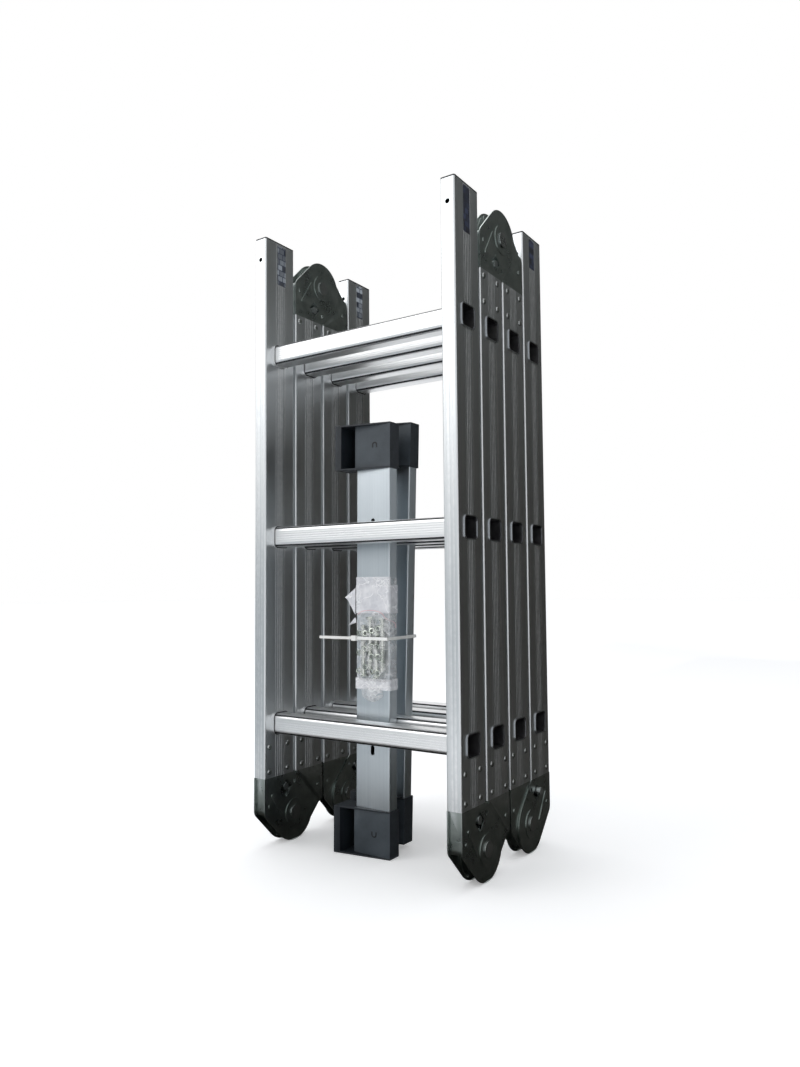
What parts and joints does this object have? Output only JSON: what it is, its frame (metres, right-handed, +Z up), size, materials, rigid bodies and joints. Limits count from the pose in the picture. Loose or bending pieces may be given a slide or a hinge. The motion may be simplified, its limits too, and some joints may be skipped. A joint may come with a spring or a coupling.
{
  "type": "multi position ladder",
  "caption": "Folding aluminium ladder of hinged sections with locking hinges, stored folded upright with its stabiliser bars tied inside.",
  "frame": {"origin": "middle of the folded ladder at ground level, under the stiles' centre", "axes": "+X to the ladder's right seen from section 1, +Y from section 1 to section 4, +Z up along the stiles"},
  "size_m": [0.368, 0.271, 0.924],
  "materials": {
    "stile_aluminium": "satin extruded, fine grooves",
    "rung_aluminium": "satin extruded, grip grooves",
    "hinge_steel": "dark zinc-plated pressed steel",
    "rivet_steel": "plain rivet steel",
    "lock_pin_steel": "zinc-plated pin",
    "spring_steel": "spring steel strip",
    "plug_plastic": "moulded",
    "bar_aluminium": "satin extruded",
    "shoe_plastic": "moulded, slightly textured",
    "bag_film": "thin clear film",
    "bolt_zinc": "bright zinc",
    "tie_nylon": "white nylon"
  },
  "bodies": {
    "section_1": {"section_1_left_stile": "stile_aluminium", "section_1_right_stile": "stile_aluminium", "section_1_rung_1": "rung_aluminium", "section_1_rung_2": "rung_aluminium", "section_1_rung_3": "rung_aluminium", "hinge_12_left_outer_leaf": "hinge_steel", "hinge_12_right_outer_leaf": "hinge_steel", "hinge_12_pivot_rivets": "rivet_steel", "hinge_12_lock_springs": "spring_steel", "section_1_hinge_rivets": "rivet_steel", "section_1_end_plugs": "plug_plastic"},
    "section_2": {"section_2_left_stile": "stile_aluminium", "section_2_right_stile": "stile_aluminium", "section_2_rung_1": "rung_aluminium", "section_2_rung_2": "rung_aluminium", "section_2_rung_3": "rung_aluminium", "hinge_12_left_inner_leaf": "hinge_steel", "hinge_12_right_inner_leaf": "hinge_steel", "hinge_23_left_outer_leaf": "hinge_steel", "hinge_23_right_outer_leaf": "hinge_steel", "hinge_23_pivot_rivets": "rivet_steel", "hinge_23_lock_springs": "spring_steel", "section_2_hinge_rivets": "rivet_steel"},
    "section_3": {"section_3_left_stile": "stile_aluminium", "section_3_right_stile": "stile_aluminium", "section_3_rung_1": "rung_aluminium", "section_3_rung_2": "rung_aluminium", "section_3_rung_3": "rung_aluminium", "hinge_23_left_inner_leaf": "hinge_steel", "hinge_23_right_inner_leaf": "hinge_steel", "hinge_34_left_inner_leaf": "hinge_steel", "hinge_34_right_inner_leaf": "hinge_steel", "section_3_hinge_rivets": "rivet_steel"},
    "section_4": {"section_4_left_stile": "stile_aluminium", "section_4_right_stile": "stile_aluminium", "section_4_rung_1": "rung_aluminium", "section_4_rung_2": "rung_aluminium", "section_4_rung_3": "rung_aluminium", "hinge_34_left_outer_leaf": "hinge_steel", "hinge_34_right_outer_leaf": "hinge_steel", "hinge_34_pivot_rivets": "rivet_steel", "hinge_34_lock_springs": "spring_steel", "section_4_hinge_rivets": "rivet_steel", "section_4_end_plugs": "plug_plastic"},
    "lock_12_left": {"hinge_12_left_lock_pin": "lock_pin_steel"},
    "lock_12_right": {"hinge_12_right_lock_pin": "lock_pin_steel"},
    "lock_23_left": {"hinge_23_left_lock_pin": "lock_pin_steel"},
    "lock_23_right": {"hinge_23_right_lock_pin": "lock_pin_steel"},
    "lock_34_left": {"hinge_34_left_lock_pin": "lock_pin_steel"},
    "lock_34_right": {"hinge_34_right_lock_pin": "lock_pin_steel"},
    "stabiliser_bundle": {"front_bar_tube": "bar_aluminium", "front_bar_upper_shoe": "shoe_plastic", "front_bar_lower_shoe": "shoe_plastic", "rear_bar_tube": "bar_aluminium", "rear_bar_upper_shoe": "shoe_plastic", "rear_bar_lower_shoe": "shoe_plastic", "bolt_bag": "bag_film", "bolts": "bolt_zinc", "cable_tie": "tie_nylon"}
  },
  "joints": [
    {"name": "fold_12", "type": "hinge", "parent": "section_2", "child": "section_1", "pos_m": [0, -0.069, 0.042], "axis": [1, 0, 0], "range_deg": [0, 180]},
    {"name": "fold_23", "type": "hinge", "parent": "section_2", "child": "section_3", "pos_m": [0, 0, 0.882], "axis": [1, 0, 0], "range_deg": [0, 115]},
    {"name": "fold_34", "type": "hinge", "parent": "section_3", "child": "section_4", "pos_m": [0, 0.069, 0.042], "axis": [-1, 0, 0], "range_deg": [0, 180]},
    {"name": "lock_12_left", "type": "slide", "parent": "section_1", "child": "lock_12_left", "axis": [0, 0.4384, -0.8988], "range_m": [0, 0.006], "deforming": ["hinge_12_lock_springs"]},
    {"name": "lock_12_right", "type": "slide", "parent": "section_1", "child": "lock_12_right", "axis": [0, 0.4384, -0.8988], "range_m": [0, 0.006], "deforming": ["hinge_12_lock_springs"]},
    {"name": "lock_23_left", "type": "slide", "parent": "section_2", "child": "lock_23_left", "axis": [0, 0.4384, 0.8988], "range_m": [0, 0.006], "deforming": ["hinge_23_lock_springs"]},
    {"name": "lock_23_right", "type": "slide", "parent": "section_2", "child": "lock_23_right", "axis": [0, 0.4384, 0.8988], "range_m": [0, 0.006], "deforming": ["hinge_23_lock_springs"]},
    {"name": "lock_34_left", "type": "slide", "parent": "section_4", "child": "lock_34_left", "axis": [0, -0.4384, -0.8988], "range_m": [0, 0.006], "deforming": ["hinge_34_lock_springs"]},
    {"name": "lock_34_right", "type": "slide", "parent": "section_4", "child": "lock_34_right", "axis": [0, -0.4384, -0.8988], "range_m": [0, 0.006], "deforming": ["hinge_34_lock_springs"]},
    {"name": "stabiliser_lift", "type": "slide", "parent": "section_2", "child": "stabiliser_bundle", "axis": [0, 0, 1], "range_m": [0, 0.085]}
  ]
}
